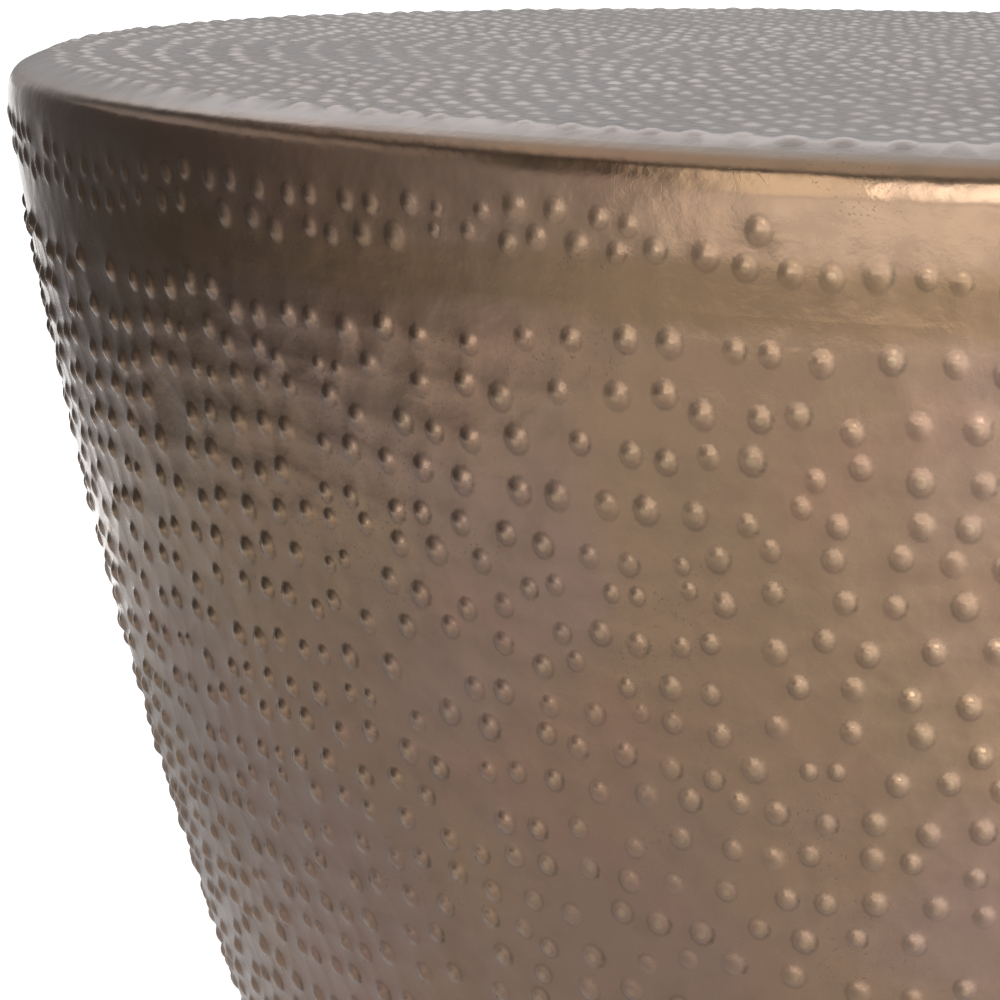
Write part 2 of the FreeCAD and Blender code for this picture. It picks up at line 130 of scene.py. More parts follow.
class Graph:
    """A node tree that is written node by node."""

    def __init__(self, tree):
        self.tree = tree

    def node(self, kind, settings=None, sockets=None):
        made = self.tree.nodes.new(kind)
        for name, value in (settings or {}).items():
            setattr(made, name, value)
        for key, value in (sockets or {}).items():
            for item in value if isinstance(value, list) else [value]:
                if isinstance(item, Wire):
                    self.tree.links.new(item.socket, made.inputs[key])
                else:
                    made.inputs[key].default_value = item
        return Made(self, made)

    def sum(self, operation, *terms):
        return self.node("ShaderNodeMath", {"operation": operation}, dict(enumerate(terms)))["Value"]

    def vector(self, across, along, up):
        return self.node("ShaderNodeCombineXYZ", {}, {0: across, 1: along, 2: up})[0]

    def vector_sum(self, operation, *terms):
        return self.node("ShaderNodeVectorMath", {"operation": operation}, dict(enumerate(terms)))

    def mix(self, factor, first, second):
        """Between two colours."""
        settings = {"data_type": "RGBA", "clamp_factor": True}
        return self.node("ShaderNodeMix", settings, {0: factor, 6: first, 7: second})[2]


def linear(red, green, blue):
    """A colour written in the eight-bit steps of a screen."""
    return tuple(((step / 255 + 0.055) / 1.055) ** 2.4 for step in (red, green, blue)) + (1.0,)


def new_material(name):
    material = bpy.data.materials.new(name)
    material.use_nodes = True
    graph = Graph(material.node_tree)
    shader = material.node_tree.nodes["Principled BSDF"]
    return material, graph, shader


def noise(graph, place, scale, detail=3.0, roll=0.0):
    """Clouds between about 0.3 and 0.7, so many to the metre. Each roll gives other clouds."""
    if roll:
        place = graph.vector_sum("ADD", place, (roll, roll, roll))[0]
    return graph.node("ShaderNodeTexNoise", {}, {"Vector": place, "Scale": scale, "Detail": detail})["Fac"]


def object_place(graph):
    return graph.node("ShaderNodeTexCoord")["Object"]


def connect(graph, shader, **links):
    """Feeds the shader's sockets, named with underscores for spaces."""
    for name, wire in links.items():
        graph.tree.links.new(wire.socket, shader.inputs[name.replace("_", " ")])


def bumped(graph, height, strength, distance):
    sockets = {"Height": height, "Strength": strength, "Distance": distance}
    return graph.node("ShaderNodeBump", {}, sockets)[0]


def wear_nodes(names, material):
    """Puts a finish on CAD nodes that stay as they are."""
    for name in names:
        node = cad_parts[name]
        node.data.materials.clear()
        node.data.materials.append(material)


TREAD_DUST_HEIGHT = 0.004
rubber, gum, rubber_shader = new_material("black_rubber")
gum_place = object_place(gum)
gum_cloud = noise(gum, gum_place, 70.0)
gum_dust = gum_place.parts()[2].ramp(0.0, TREAD_DUST_HEIGHT, 0.7, 0.0) * gum_cloud.ramp(0.35, 0.6)
gum_colour = gum.mix(gum_cloud.ramp(0.35, 0.65), linear(30, 29, 28), linear(46, 44, 42))
connect(
    gum,
    rubber_shader,
    Base_Color=gum.mix(gum_dust, gum_colour, linear(104, 99, 92)),
    Roughness=gum_cloud.ramp(0.3, 0.7, 0.68, 0.88),
    Normal=bumped(gum, noise(gum, gum_place, 1300.0), 0.3, 0.0003),
)
wear_nodes(["foot_front", "foot_back", "foot_left", "foot_right"], rubber)

zinc, plating, zinc_shader = new_material("bright_zinc")
plating_place = object_place(plating)
plating_cloud = noise(plating, plating_place, 120.0)
plating_tint = noise(plating, plating_place, 260.0, roll=2.0)
plating_colour = plating.mix(plating_cloud.ramp(0.35, 0.65), linear(172, 175, 178), linear(148, 149, 147))
connect(
    plating,
    zinc_shader,
    Base_Color=plating.mix(plating_tint.ramp(0.5, 0.7, 0.0, 0.6), plating_colour, linear(188, 176, 142)),
    Roughness=plating_cloud.ramp(0.3, 0.7, 0.26, 0.44),
    Normal=bumped(plating, noise(plating, plating_place, 2200.0), 0.2, 0.0002),
)
zinc_shader.inputs["Metallic"].default_value = 1.0
wear_nodes(["foot_screws", "foot_washers", "foot_nuts"], zinc)


# Steel frame: two flat rings, four leaning struts and two halved cross bars, hidden in the drum.
# Mild steel flat bar, welded, then sprayed with black satin paint that dries with a fine orange peel.
frame_paint, paint, paint_shader = new_material("black_satin_paint")
paint_place = object_place(paint)
paint_cloud = noise(paint, paint_place, 22.0)
paint_scuff = noise(paint, paint_place, 160.0, detail=5.0, roll=4.0).ramp(0.62, 0.7)
paint_colour = paint.mix(paint_cloud.ramp(0.35, 0.7), linear(26, 25, 25), linear(42, 40, 38))
connect(
    paint,
    paint_shader,
    Base_Color=paint.mix(paint_scuff * 0.5, paint_colour, linear(92, 88, 84)),
    Roughness=paint_cloud.ramp(0.3, 0.7, 0.38, 0.55) + paint_scuff * 0.15,
    Normal=bumped(paint, noise(paint, paint_place, 900.0, detail=2.0), 0.25, 0.0004),
)
STRUTS = ["strut_front_left", "strut_front_right", "strut_back_left", "strut_back_right"]
RINGS_AND_BARS = ["base_ring", "upper_ring", "cross_bar_left_right", "cross_bar_front_back"]
wear_nodes(STRUTS + RINGS_AND_BARS, frame_paint)


# Drum wall: two half sheets of brass, rolled to a taper and bowed, then punched from behind so that
# rows of small round bumps stand out, and darkened with a brown patina that is lacquered over.
# A tongue at the top of each sheet is joggled in behind the skirt of the top.
brass, metal, brass_shader = new_material("antique_brass")
STRIPE_FOOT = 0.376
STRIPE_HEAD = 0.393
STRIPE_STRAY = 0.016
STRIPE_BLUR = 0.003
metal_place = object_place(metal)
metal_across, metal_along, metal_up = metal_place.parts()
metal_rise = metal.node("ShaderNodeAttribute", {"attribute_name": "rise"})["Fac"]
metal_grime = metal.node("ShaderNodeAttribute", {"attribute_name": "grime"})["Fac"]
mauve_cloud = noise(metal, metal_place, 8.0, detail=4.0)
olive_cloud = noise(metal, metal_place, 13.0, detail=4.0, roll=3.0)
rose_cloud = noise(metal, metal_place, 17.0, roll=6.0)
fine_cloud = noise(metal, metal_place, 85.0, detail=5.0, roll=9.0)
sheet_tone = metal.mix(mauve_cloud.ramp(0.4, 0.6), linear(158, 128, 101), linear(151, 123, 106))
sheet_tone = metal.mix(olive_cloud.ramp(0.5, 0.68, 0.0, 0.3), sheet_tone, linear(144, 125, 97))
sheet_tone = metal.mix(rose_cloud.ramp(0.52, 0.7, 0.0, 0.35), sheet_tone, linear(164, 123, 103))
sheet_tone = metal.mix(fine_cloud.ramp(0.45, 0.7, 0.0, 0.3), sheet_tone, linear(128, 105, 84))

# Rim band: the brass is rubbed there, and its pale grey is also a painted reflection of the pale room behind
# the table. The grey is darker past the border's start, towards the turned edge.
RUBBED_REFLECTION_FOOT = 0.4225
RUBBED_REFLECTION_HEAD = 0.4265
BORDER_START = 0.360
BORDER_END = 0.370
metal_out = (metal_across * metal_across + metal_along * metal_along).root()
rubbed_and_reflection = metal_up.ramp(RUBBED_REFLECTION_FOOT, RUBBED_REFLECTION_HEAD, 0.0, 0.85)
on_border = metal_out.ramp(BORDER_START, BORDER_END)
rubbed_and_reflection_tone = metal.mix(on_border, linear(158, 146, 141), linear(134, 126, 122))
sheet_tone = metal.mix(rubbed_and_reflection, sheet_tone, rubbed_and_reflection_tone)

# A darker yellow-brown band round the wall just under the skirt: painted shade, standing in for the dimmer
# reflection of the smooth, unbeaten band there.
stripe_up = metal_up + (noise(metal, metal_place, 24.0, roll=12.0) - 0.5) * STRIPE_STRAY
painted_dim_band = stripe_up.ramp(STRIPE_FOOT - STRIPE_BLUR, STRIPE_FOOT + STRIPE_BLUR)
painted_dim_band = painted_dim_band * stripe_up.ramp(STRIPE_HEAD - STRIPE_BLUR, STRIPE_HEAD + STRIPE_BLUR, 0.65, 0.0)
sheet_tone = metal.mix(painted_dim_band, sheet_tone, linear(140, 111, 78))

bump_foot = metal_rise.ramp(0.0, 0.1) * metal_rise.ramp(0.1, 0.45, 1.0, 0.0)
sheet_tone = metal.mix(bump_foot * fine_cloud.ramp(0.35, 0.6, 0.05, 0.3), sheet_tone, linear(92, 72, 55))
# Paler crowns on the bumps: partly rubbed bright, and partly a painted highlight where the domes catch the
# light.
crown_wear_and_highlight = metal_rise.ramp(0.7, 1.0) * fine_cloud.ramp(0.4, 0.62)
sheet_tone = metal.mix(crown_wear_and_highlight * 0.45, sheet_tone, linear(205, 178, 142))

smudge = metal_grime * noise(metal, metal_place, 330.0, roll=15.0).ramp(0.38, 0.58, 0.25, 1.0)
sheet_tone = metal.mix(smudge * 0.6, sheet_tone, linear(84, 77, 64))
speck_field = noise(metal, metal_place, 21.0, detail=2.0, roll=18.0).ramp(0.52, 0.64)
speck = noise(metal, metal_place, 950.0, detail=1.0, roll=21.0).ramp(0.66, 0.72) * speck_field
sheet_tone = metal.mix(speck * 0.4, sheet_tone, linear(74, 60, 46))

SCRATCH_TURN = (0.4, 0.9, 0.3)
SCRATCH_STRETCH = (1.0, 1.0, 0.03)
scratch_place = metal.node(
    "ShaderNodeMapping",
    {},
    {"Vector": metal_place, "Rotation": SCRATCH_TURN, "Scale": SCRATCH_STRETCH},
)[0]
scratch_cloud = noise(metal, scratch_place, 260.0, detail=1.0, roll=24.0)
scratch_line = abs(scratch_cloud - 0.5).ramp(0.0, 0.006, 1.0, 0.0)
scratch = scratch_line * noise(metal, metal_place, 30.0, roll=27.0).ramp(0.58, 0.66)
sheet_tone = metal.mix(scratch * 0.12, sheet_tone, linear(196, 172, 140))

SMOOTH_FOOT = 0.406
SMOOTH_HEAD = 0.412
sheet_grain = noise(metal, metal_place, 150.0, detail=4.0, roll=30.0)
sheet_dent = noise(metal, metal_place, 48.0, detail=2.0, roll=33.0)
sheet_height = sheet_grain * 1.4 + sheet_dent * 2.5 - smudge * 0.25 - speck * 0.2 - scratch * 0.1
sheet_rough = mauve_cloud.ramp(0.35, 0.65, 0.25, 0.31) + fine_cloud.ramp(0.35, 0.65, -0.03, 0.04)
sheet_rough = sheet_rough - metal_up.ramp(SMOOTH_FOOT, SMOOTH_HEAD, 0.0, 0.06)
connect(
    metal,
    brass_shader,
    Base_Color=sheet_tone,
    Roughness=sheet_rough + smudge * 0.14 - crown_wear_and_highlight * 0.06,
    Coat_Weight=olive_cloud.ramp(0.35, 0.65, 0.9, 0.65) * (1.0 - smudge * 0.5),
    Normal=bumped(metal, sheet_height, 0.24, 0.0008),
)
brass_shader.inputs["Metallic"].default_value = 1.0
brass_shader.inputs["Coat Roughness"].default_value = 0.22

BASE_RADIUS = 0.278
JOINT_RADIUS = 0.3747
WALL_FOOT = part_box("wall_front")[0].z
JOINT_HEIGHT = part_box("top_pan")[0].z
BOW_RADIUS = 2.2
GAUGE = 0.0012
wall_rise = JOINT_HEIGHT - WALL_FOOT
wall_chord = math.hypot(JOINT_RADIUS - BASE_RADIUS, wall_rise)
chord_lean = math.atan2(JOINT_RADIUS - BASE_RADIUS, wall_rise)
half_bow = math.asin(wall_chord / 2 / BOW_RADIUS)
foot_angle = -chord_lean - half_bow
bow_out = BASE_RADIUS - BOW_RADIUS * math.cos(foot_angle)
bow_up = WALL_FOOT - BOW_RADIUS * math.sin(foot_angle)
wall_length = 2 * half_bow * BOW_RADIUS


def shape_tree(name, sizes):
    """A node tree with a named input for each size. Gives the graph and its inputs."""
    tree = bpy.data.node_groups.new(name, "GeometryNodeTree")
    tree.interface.new_socket("Sheet", in_out="OUTPUT", socket_type="NodeSocketGeometry")
    for label, size in sizes.items():
        kind = "NodeSocketInt" if isinstance(size, int) else "NodeSocketFloat"
        tree.interface.new_socket(label, in_out="INPUT", socket_type=kind)
    graph = Graph(tree)
    inlet = graph.node("NodeGroupInput")
    return graph, {label: inlet[label] for label in sizes}


SHARP_CORNER = math.radians(62)


def end_tree(graph, mesh, material):
    """Realizes, shades and dresses what the tree has made."""
    whole = graph.node("GeometryNodeRealizeInstances", {}, {0: mesh})[0]
    sharp = graph.node("GeometryNodeInputMeshEdgeAngle")[0] > SHARP_CORNER
    sockets = {"Geometry": whole, "Shade Smooth": True}
    smooth = graph.node("GeometryNodeSetShadeSmooth", {"domain": "FACE"}, sockets)[0]
    sockets = {"Geometry": smooth, "Selection": sharp, "Shade Smooth": False}
    edged = graph.node("GeometryNodeSetShadeSmooth", {"domain": "EDGE"}, sockets)[0]
    dressed = graph.node("GeometryNodeSetMaterial", {}, {"Geometry": edged, "Material": material})[0]
    graph.node("NodeGroupOutput", {}, {0: dressed})


def make_piece(name, graph, sizes):
    """Runs a tree once and keeps the result as a plain mesh."""
    piece = bpy.data.objects.new(name, bpy.data.meshes.new(name))
    bpy.context.scene.collection.objects.link(piece)
    modifier = piece.modifiers.new("shape", "NODES")
    modifier.node_group = graph.tree
    for item in graph.tree.interface.items_tree:
        if item.in_out == "INPUT":
            modifier[item.identifier] = sizes[item.name]
    evaluated = piece.evaluated_get(bpy.context.evaluated_depsgraph_get())
    mesh = bpy.data.meshes.new_from_object(evaluated)
    piece.modifiers.remove(modifier)
    piece.data = mesh
    return piece


def join(graph, *meshes):
    return graph.node("GeometryNodeJoinGeometry", {}, {0: list(meshes)})[0]


WELD_GAP = 0.00002


def weld(graph, mesh):
    return graph.node("GeometryNodeMergeByDistance", {}, {"Geometry": mesh, "Distance": WELD_GAP})[0]


def keep(graph, mesh, name, value, kind="FLOAT", chosen=None):
    """Stores a value on every point, or on the chosen ones."""
    sockets = {"Geometry": mesh, "Name": name, "Value": value}
    if chosen is not None:
        sockets["Selection"] = chosen
    return graph.node("GeometryNodeStoreNamedAttribute", {"data_type": kind, "domain": "POINT"}, sockets)[0]


def kept(graph, name, kind="FLOAT"):
    return graph.node("GeometryNodeInputNamedAttribute", {"data_type": kind}, {"Name": name})[0]


def chance(graph, seed, low=0.0, high=1.0):
    """A number drawn for each point."""
    return graph.node("FunctionNodeRandomValue", {"data_type": "FLOAT"}, {2: low, 3: high, 8: seed})[1]


def place_of(graph):
    return graph.node("GeometryNodeInputPosition")[0]


def move(graph, mesh, place):
    return graph.node("GeometryNodeSetPosition", {}, {"Geometry": mesh, "Position": place})[0]


def drop_points(graph, points, chosen):
    sockets = {"Geometry": points, "Selection": chosen}
    return graph.node("GeometryNodeDeleteGeometry", {"domain": "POINT"}, sockets)[0]


def on_axis(graph, radius, angle, up):
    """A point at an angle about the drum's axis."""
    return graph.vector(radius * angle.cos(), radius * angle.sin(), up)


def clouds(graph, place, scale):
    """Three slow noises in one, between about 0.3 and 0.7."""
    return graph.node("ShaderNodeTexNoise", {}, {"Vector": place, "Scale": scale, "Detail": 1.0})["Color"]


HAND_WAVES = ((9.0, 0.0018), (34.0, 0.0007))
HAND_SLACK = 0.0007


def hand_work(graph, mesh, upright=1.0):
    """Leaves the sheet a little off its true surface, as hammering by hand does.
    A sheet that lies on a board strays less up and down."""
    for scale, amount in HAND_WAVES:
        cloud = clouds(graph, place_of(graph), scale)
        drift = graph.vector_sum("MULTIPLY_ADD", cloud, (amount,) * 3, (-amount / 2,) * 3)[0]
        drift = graph.vector_sum("MULTIPLY", drift, graph.vector(1.0, 1.0, upright))[0]
        mesh = graph.node("GeometryNodeSetPosition", {}, {"Geometry": mesh, "Offset": drift})[0]
    return mesh


BUMP_SPREAD = 1.2
MARGIN = BUMP_SPREAD * 1.24
GAP_SHARE = 0.44
ROOM_SHARE = 0.88
HARDEST_BLOW = 1.08
GRIMY = 0.35
PUNCH_WIDTH = 0.94
PUNCH_LENGTH = 1.1


def size_bumps(graph, points, true_place, room, stretch, size, spread=1.0, force=1.0):
    """Settles each bump's height and the patch that it stands in, clear of its nearest neighbour
    and within the room that it has to the edge of the sheet.
    The punch fell harder in some places than in others, and some bumps have caught grime."""
    flat_place = place_of(graph)
    points = keep(graph, points, "flat", flat_place, "FLOAT_VECTOR")
    points = keep(graph, points, "room", room)
    points = move(graph, points, true_place)
    nearest = graph.node("GeometryNodeIndexOfNearest")["Index"]
    settings = {"data_type": "FLOAT_VECTOR", "domain": "POINT"}
    sockets = {0: points, 1: place_of(graph), 2: nearest}
    neighbour = graph.node("GeometryNodeSampleIndex", settings, sockets)[0]
    gap = graph.vector_sum("DISTANCE", neighbour, place_of(graph))["Value"]
    wanted = size["Bump radius"] * chance(graph, size["Seed"] + 3, 0.86, 1.1) * spread
    reach = (wanted * BUMP_SPREAD).least(gap * GAP_SHARE).least(kept(graph, "room") * ROOM_SHARE)
    blow = noise(graph, flat_place, 6.5, detail=1.0)
    blow = blow.ramp(0.36, 0.56, size["Lightest blow"], HARDEST_BLOW)
    blow = blow * chance(graph, size["Seed"] + 4, 0.85, 1.12) * force
    points = keep(graph, points, "reach", reach)
    points = keep(graph, points, "height", reach * size["Bump steepness"] * blow)
    points = keep(graph, points, "grimy", chance(graph, size["Seed"] + 5) < GRIMY)
    points = move(graph, points, kept(graph, "flat", "FLOAT_VECTOR"))
    reach = kept(graph, "reach")
    patch = graph.vector(reach * stretch * PUNCH_WIDTH, reach * PUNCH_LENGTH, 1.0)
    return keep(graph, points, "patch", patch, "FLOAT_VECTOR")


def stamp(graph, points, outline, sides, rings, taper=1.2, foot=1.15):
    """Fills a flat outline round the patches of its bumps and sets a dome in each patch, with a
    flat margin set by the taper and an easy foot. Grime gathers at the foot, on one side."""
    patch = kept(graph, "patch", "FLOAT_VECTOR")
    sockets = {"Resolution": sides, "Radius": 1.0}
    ring = graph.node("GeometryNodeCurvePrimitiveCircle", {"mode": "RADIUS"}, sockets)[0]
    sockets = {"Points": points, "Instance": ring, "Scale": patch}
    rims = graph.node("GeometryNodeInstanceOnPoints", {}, sockets)[0]
    rims = graph.node("GeometryNodeRealizeInstances", {}, {0: rims})[0]
    ground = graph.node("GeometryNodeFillCurve", {"mode": "TRIANGLES"}, {0: join(graph, outline, rims)})[0]
    sockets = {"Vertices": sides, "Side Segments": rings}
    sockets.update({"Radius Top": 0.0, "Radius Bottom": 1.0, "Depth": 1.0})
    dome = graph.node("GeometryNodeMeshCone", {"fill_type": "NONE"}, sockets)[0]
    across, along, _ = place_of(graph).parts()
    out = graph.vector_sum("LENGTH", graph.vector(across, along, 0.0))["Value"]
    spread = out * taper
    dome = keep(graph, dome, "rise", graph.sum("POWER", (1.0 - spread * spread).most(0.0), foot))
    grime = out.ramp(0.5, 0.7) * out.ramp(0.8, 1.0, 1.0, 0.0) * (across - along * 0.2).ramp(0.45, 0.72)
    dome = keep(graph, dome, "grime", grime)
    dome = move(graph, dome, graph.vector(across, along, 0.0))
    sockets = {"Points": points, "Instance": dome, "Scale": patch}
    domes = graph.node("GeometryNodeInstanceOnPoints", {}, sockets)[0]
    domes = graph.node("GeometryNodeRealizeInstances", {}, {0: domes})[0]
    domes = keep(graph, domes, "grime", kept(graph, "grime") * kept(graph, "grimy"))
    return weld(graph, join(graph, ground, domes))


def rim_edges(graph):
    """Edges with a face on one side only."""
    return graph.node("GeometryNodeInputMeshEdgeNeighbors")[0] < 1.5


def strip_outline(graph, length, width, columns, rows):
    sockets = {"Size X": length, "Size Y": width, "Vertices X": columns + 1, "Vertices Y": rows + 1}
    grid = graph.node("GeometryNodeMeshGrid", {}, sockets)[0]
    return graph.node("GeometryNodeMeshToCurve", {}, {"Mesh": grid, "Selection": rim_edges(graph)})[0]


WALL_REFERENCE = 0.33
WALL_SPAN = math.pi - math.radians(0.1)
WALL_COLUMNS = 150
WALL_EDGE_ROWS = 48
wall_sizes = {
    "Bump radius": 0.0050,
    "Bump steepness": 0.40,
    "Lightest blow": 0.66,
    "Bump pitch": 0.0145,
    "Row pitch": 0.0154,
    "Row closing": 0.00004,
    "Top border": 0.0095,
    "Foot border": 0.012,
    "Jitter": 0.0066,
    "Wander": 0.036,
    "Middle angle": 0.0,
    "Seed": 11,
}
wall_tree, wall = shape_tree("hammered_wall", wall_sizes)


def wall_lean(along):
    """The angle of the bow at a point of the sheet."""
    return (along + wall_length / 2) / BOW_RADIUS + foot_angle


def wall_place(graph, flat, height):
    """Wraps a point of the flat sheet round the drum, at a height off its true surface."""
    across, along, _ = flat.parts()
    angle = across / WALL_REFERENCE + wall["Middle angle"]
    reach = height + BOW_RADIUS
    lean = wall_lean(along)
    return on_axis(graph, reach * lean.cos() + bow_out, angle, reach * lean.sin() + bow_up)


def wall_radius(along):
    return wall_lean(along).cos() * BOW_RADIUS + bow_out


def row_drop(size, row):
    """How far a row lies under the first one. The rows close up a little towards the foot."""
    return row * size["Row pitch"] - row * row * size["Row closing"]


ROW_SHIFT = 0.19
CROWDING = 0.08
MISSED = 0.02
BEATEN_FLAT = 0.024
FLAT_SPREAD = 0.3
FLAT_EASE = 0.6
FOOT_SPREAD = 0.84
FOOT_FORCE = 0.8


def wall_points(graph, size):
    """Rows of bumps, each with as many as its own girth holds."""
    index = graph.node("GeometryNodeInputIndex")[0]
    most_in_row = math.ceil(WALL_SPAN * JOINT_RADIUS / wall_sizes["Bump pitch"]) + 1
    usable = wall_length - wall_sizes["Top border"] - wall_sizes["Foot border"]
    rows = 1
    while row_drop(wall_sizes, rows) < usable:
        rows += 1
    row = (index / most_in_row).floor()
    step = index % most_in_row
    along = wall_length / 2 - size["Top border"] - row_drop(size, row)
    in_row = (wall_radius(along) * WALL_SPAN / size["Bump pitch"]).round()
    share = (step + (row * ROW_SHIFT) % 1.0) / in_row - 0.5
    crowding = (share * 4 * math.pi).sin() * CROWDING / (4 * math.pi)
    across = (share + crowding) * WALL_SPAN * WALL_REFERENCE
    stretch = WALL_REFERENCE / wall_radius(along)
    wander_across, wander_along, _ = clouds(graph, graph.vector(across, along, 0.0), 7.0).parts()
    jitter_across = chance(graph, size["Seed"], -0.5, 0.5) * size["Jitter"]
    jitter_along = chance(graph, size["Seed"] + 1, -0.5, 0.5) * size["Jitter"]
    across = across + (jitter_across + (wander_across - 0.5) * size["Wander"]) * stretch
    along = along + jitter_along + (wander_along - 0.5) * size["Wander"]
    edge_across = WALL_SPAN * WALL_REFERENCE / 2 - size["Bump radius"] * MARGIN * stretch
    edge_along = wall_length / 2 - size["Bump radius"] * MARGIN
    across = across.least(edge_across).most(0.0 - edge_across)
    along = along.least(edge_along).most(0.0 - edge_along)
    sockets = {"Count": rows * most_in_row, "Position": graph.vector(across, along, 0.0)}
    points = graph.node("GeometryNodePoints", {}, sockets)[0]
    missed = chance(graph, size["Seed"] + 2) < MISSED
    points = drop_points(graph, points, (step + 0.5 > in_row).most(missed))
    flat_across, flat_along, flat_up = place_of(graph).parts()
    true_place = wall_place(graph, place_of(graph), flat_up)
    stretch = WALL_REFERENCE / wall_radius(flat_along)
    room = (WALL_SPAN * WALL_REFERENCE / 2 - abs(flat_across)) / stretch
    room = room.least(wall_length / 2 - abs(flat_along))
    flatness = flat_along.ramp(wall_length / 2 - BEATEN_FLAT, wall_length / 2 - BEATEN_FLAT / 2)
    foot_spread = flat_along.ramp(-wall_length / 2, wall_length / 4, FOOT_SPREAD, 1.0)
    foot_force = flat_along.ramp(-wall_length / 2, wall_length / 4, FOOT_FORCE, 1.0)
    spread = (flatness * FLAT_SPREAD + 1.0) * foot_spread
    force = (1.0 - flatness * FLAT_EASE) * foot_force
    return size_bumps(graph, points, true_place, room, stretch, size, spread, force)


TONGUE = 0.012
JOGGLE = 0.0017
JOGGLE_RUN = 0.0004
OUTER_DOME = (10, 4)
INNER_DOME = (6, 1)
points = wall_points(wall_tree, wall)
wall_across = WALL_SPAN * WALL_REFERENCE
outline = strip_outline(wall_tree, wall_across, wall_length, WALL_COLUMNS, WALL_EDGE_ROWS)
sockets = {"Size X": wall_across, "Size Y": 2.0, "Vertices X": WALL_COLUMNS + 1, "Vertices Y": 3}
tongue = wall_tree.node("GeometryNodeMeshGrid", {}, sockets)[0]
tongue_across, tongue_row, _ = place_of(wall_tree).parts()
tongue_along = wall_length / 2 + (tongue_row + 1.0).least(1.0) * JOGGLE_RUN + tongue_row.most(0.0) * TONGUE
tongue = move(wall_tree, tongue, wall_tree.vector(tongue_across, tongue_along, 0.0))
outer = weld(wall_tree, join(wall_tree, stamp(wall_tree, points, outline, *OUTER_DOME), tongue))
sockets = {"Mesh": outer, "Selection": rim_edges(wall_tree), "Offset Scale": 0.0}
extruded = wall_tree.node("GeometryNodeExtrudeMesh", {"mode": "EDGES"}, sockets)
outer = keep(wall_tree, extruded["Mesh"], "depth", 1.0, chosen=extruded["Top"])
inner = join(wall_tree, stamp(wall_tree, points, outline, *INNER_DOME), tongue)
inner = keep(wall_tree, weld(wall_tree, inner), "depth", 1.0)
inner = wall_tree.node("GeometryNodeFlipFaces", {}, {0: inner})[0]
sheet = join(wall_tree, outer, inner)
flat = place_of(wall_tree)
joggle = (flat.parts()[1] - wall_length / 2).ramp(0.0, JOGGLE_RUN) * JOGGLE
lift = kept(wall_tree, "rise") * kept(wall_tree, "height") - joggle - kept(wall_tree, "depth") * GAUGE
sheet = weld(wall_tree, move(wall_tree, sheet, wall_place(wall_tree, flat, lift)))
end_tree(wall_tree, hand_work(wall_tree, sheet), brass)

for name, middle, seed in (("wall_front", -math.pi / 2, 11), ("wall_back", math.pi / 2, 47)):
    half = make_piece(f"hammered_{name}", wall_tree, {**wall_sizes, "Middle angle": middle, "Seed": seed})
    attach(half, "root")
    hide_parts(name)


# Seam straps: two strips of the same brass sheet, left smooth, inside the two upright seams.
# Each is bent to the wall and brazed across the gap between the half sheets.
wear_nodes(["seam_strap_left", "seam_strap_right"], brass)


# Board: a disc of birch plywood under the top sheet, so that the thin brass carries a load.
# It is sawn to a circle, which bares the plies at its edge, and screwed down from below.
PLIES = 9
EDGE_CHAMFER = 0.0021
board_low, board_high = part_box("top_board")
ply = (board_high.z - board_low.z) / PLIES
plywood, wood, wood_shader = new_material("birch_plywood")
wood_place = object_place(wood)
wood_across, wood_along, wood_up = wood_place.parts()
grain_place = wood.vector(wood_across * 0.06, wood_along, wood_up)
grain = noise(wood, grain_place, 60.0, detail=6.0)
pores = noise(wood, grain_place, 900.0, detail=2.0, roll=2.0).ramp(0.56, 0.68)
veneer = wood.mix(grain.ramp(0.36, 0.64), linear(221, 196, 158), linear(196, 163, 119))
veneer = wood.mix(pores * 0.35, veneer, linear(150, 117, 80))
ply_turn = ((wood_up - board_low.z) / ply).floor() % 2.0
ply_fleck = noise(wood, wood_place, 500.0, detail=3.0, roll=5.0).ramp(0.4, 0.65)
long_ply = wood.mix(ply_fleck, linear(214, 187, 146), linear(196, 166, 124))
end_ply = wood.mix(ply_fleck, linear(160, 124, 86), linear(132, 99, 66))
sawn = (wood_across * wood_across + wood_along * wood_along).root() > board_high.x - EDGE_CHAMFER
connect(
    wood,
    wood_shader,
    Base_Color=wood.mix(sawn, veneer, wood.mix(ply_turn, long_ply, end_ply)),
    Roughness=grain.ramp(0.3, 0.7, 0.5, 0.66) + pores * 0.08,
    Normal=bumped(wood, grain - pores * 0.5, 0.25, 0.0005),
)
wear_nodes(["top_board"], plywood)
wear_nodes(["board_screws"], zinc)


# Top: one brass sheet, punched from behind in rings of bumps, its edge rolled over a smooth border
# and turned down in a short skirt with a straggling row of bumps. The skirt laps over the wall's tongue.
LAID_FLAT = 0.4
STEADY_RUN = 0.005
TOP_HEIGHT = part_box("top_pan")[1].z - HAND_SLACK * LAID_FLAT
TOP_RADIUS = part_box("top_pan")[1].x - HAND_SLACK
FIELD_SINK = 0.0012
BEATEN_EDGE = 0.3715
RAGGED_EDGE = 0.005
EASED_FROM = 0.355
EASED_TO = 0.361
EASED_FORCE = 0.8
CROWN_RADIUS = 0.3523
BORDER_WIDTH = 0.0224
BORDER_ROUND = 0.0477
EDGE_ROUND = 0.0077
SIDE_ROUND = 0.024
PAN_COLUMNS = 360
border_slant = math.asin(BORDER_WIDTH / BORDER_ROUND)
border_centre = (CROWN_RADIUS, TOP_HEIGHT - BORDER_ROUND)
edge_out = CROWN_RADIUS + (BORDER_ROUND - EDGE_ROUND) * math.sin(border_slant)
edge_up = TOP_HEIGHT - BORDER_ROUND + (BORDER_ROUND - EDGE_ROUND) * math.cos(border_slant)
side_out = TOP_RADIUS - SIDE_ROUND
side_up = edge_up - math.sqrt((SIDE_ROUND - EDGE_ROUND) ** 2 - (edge_out - side_out) ** 2)
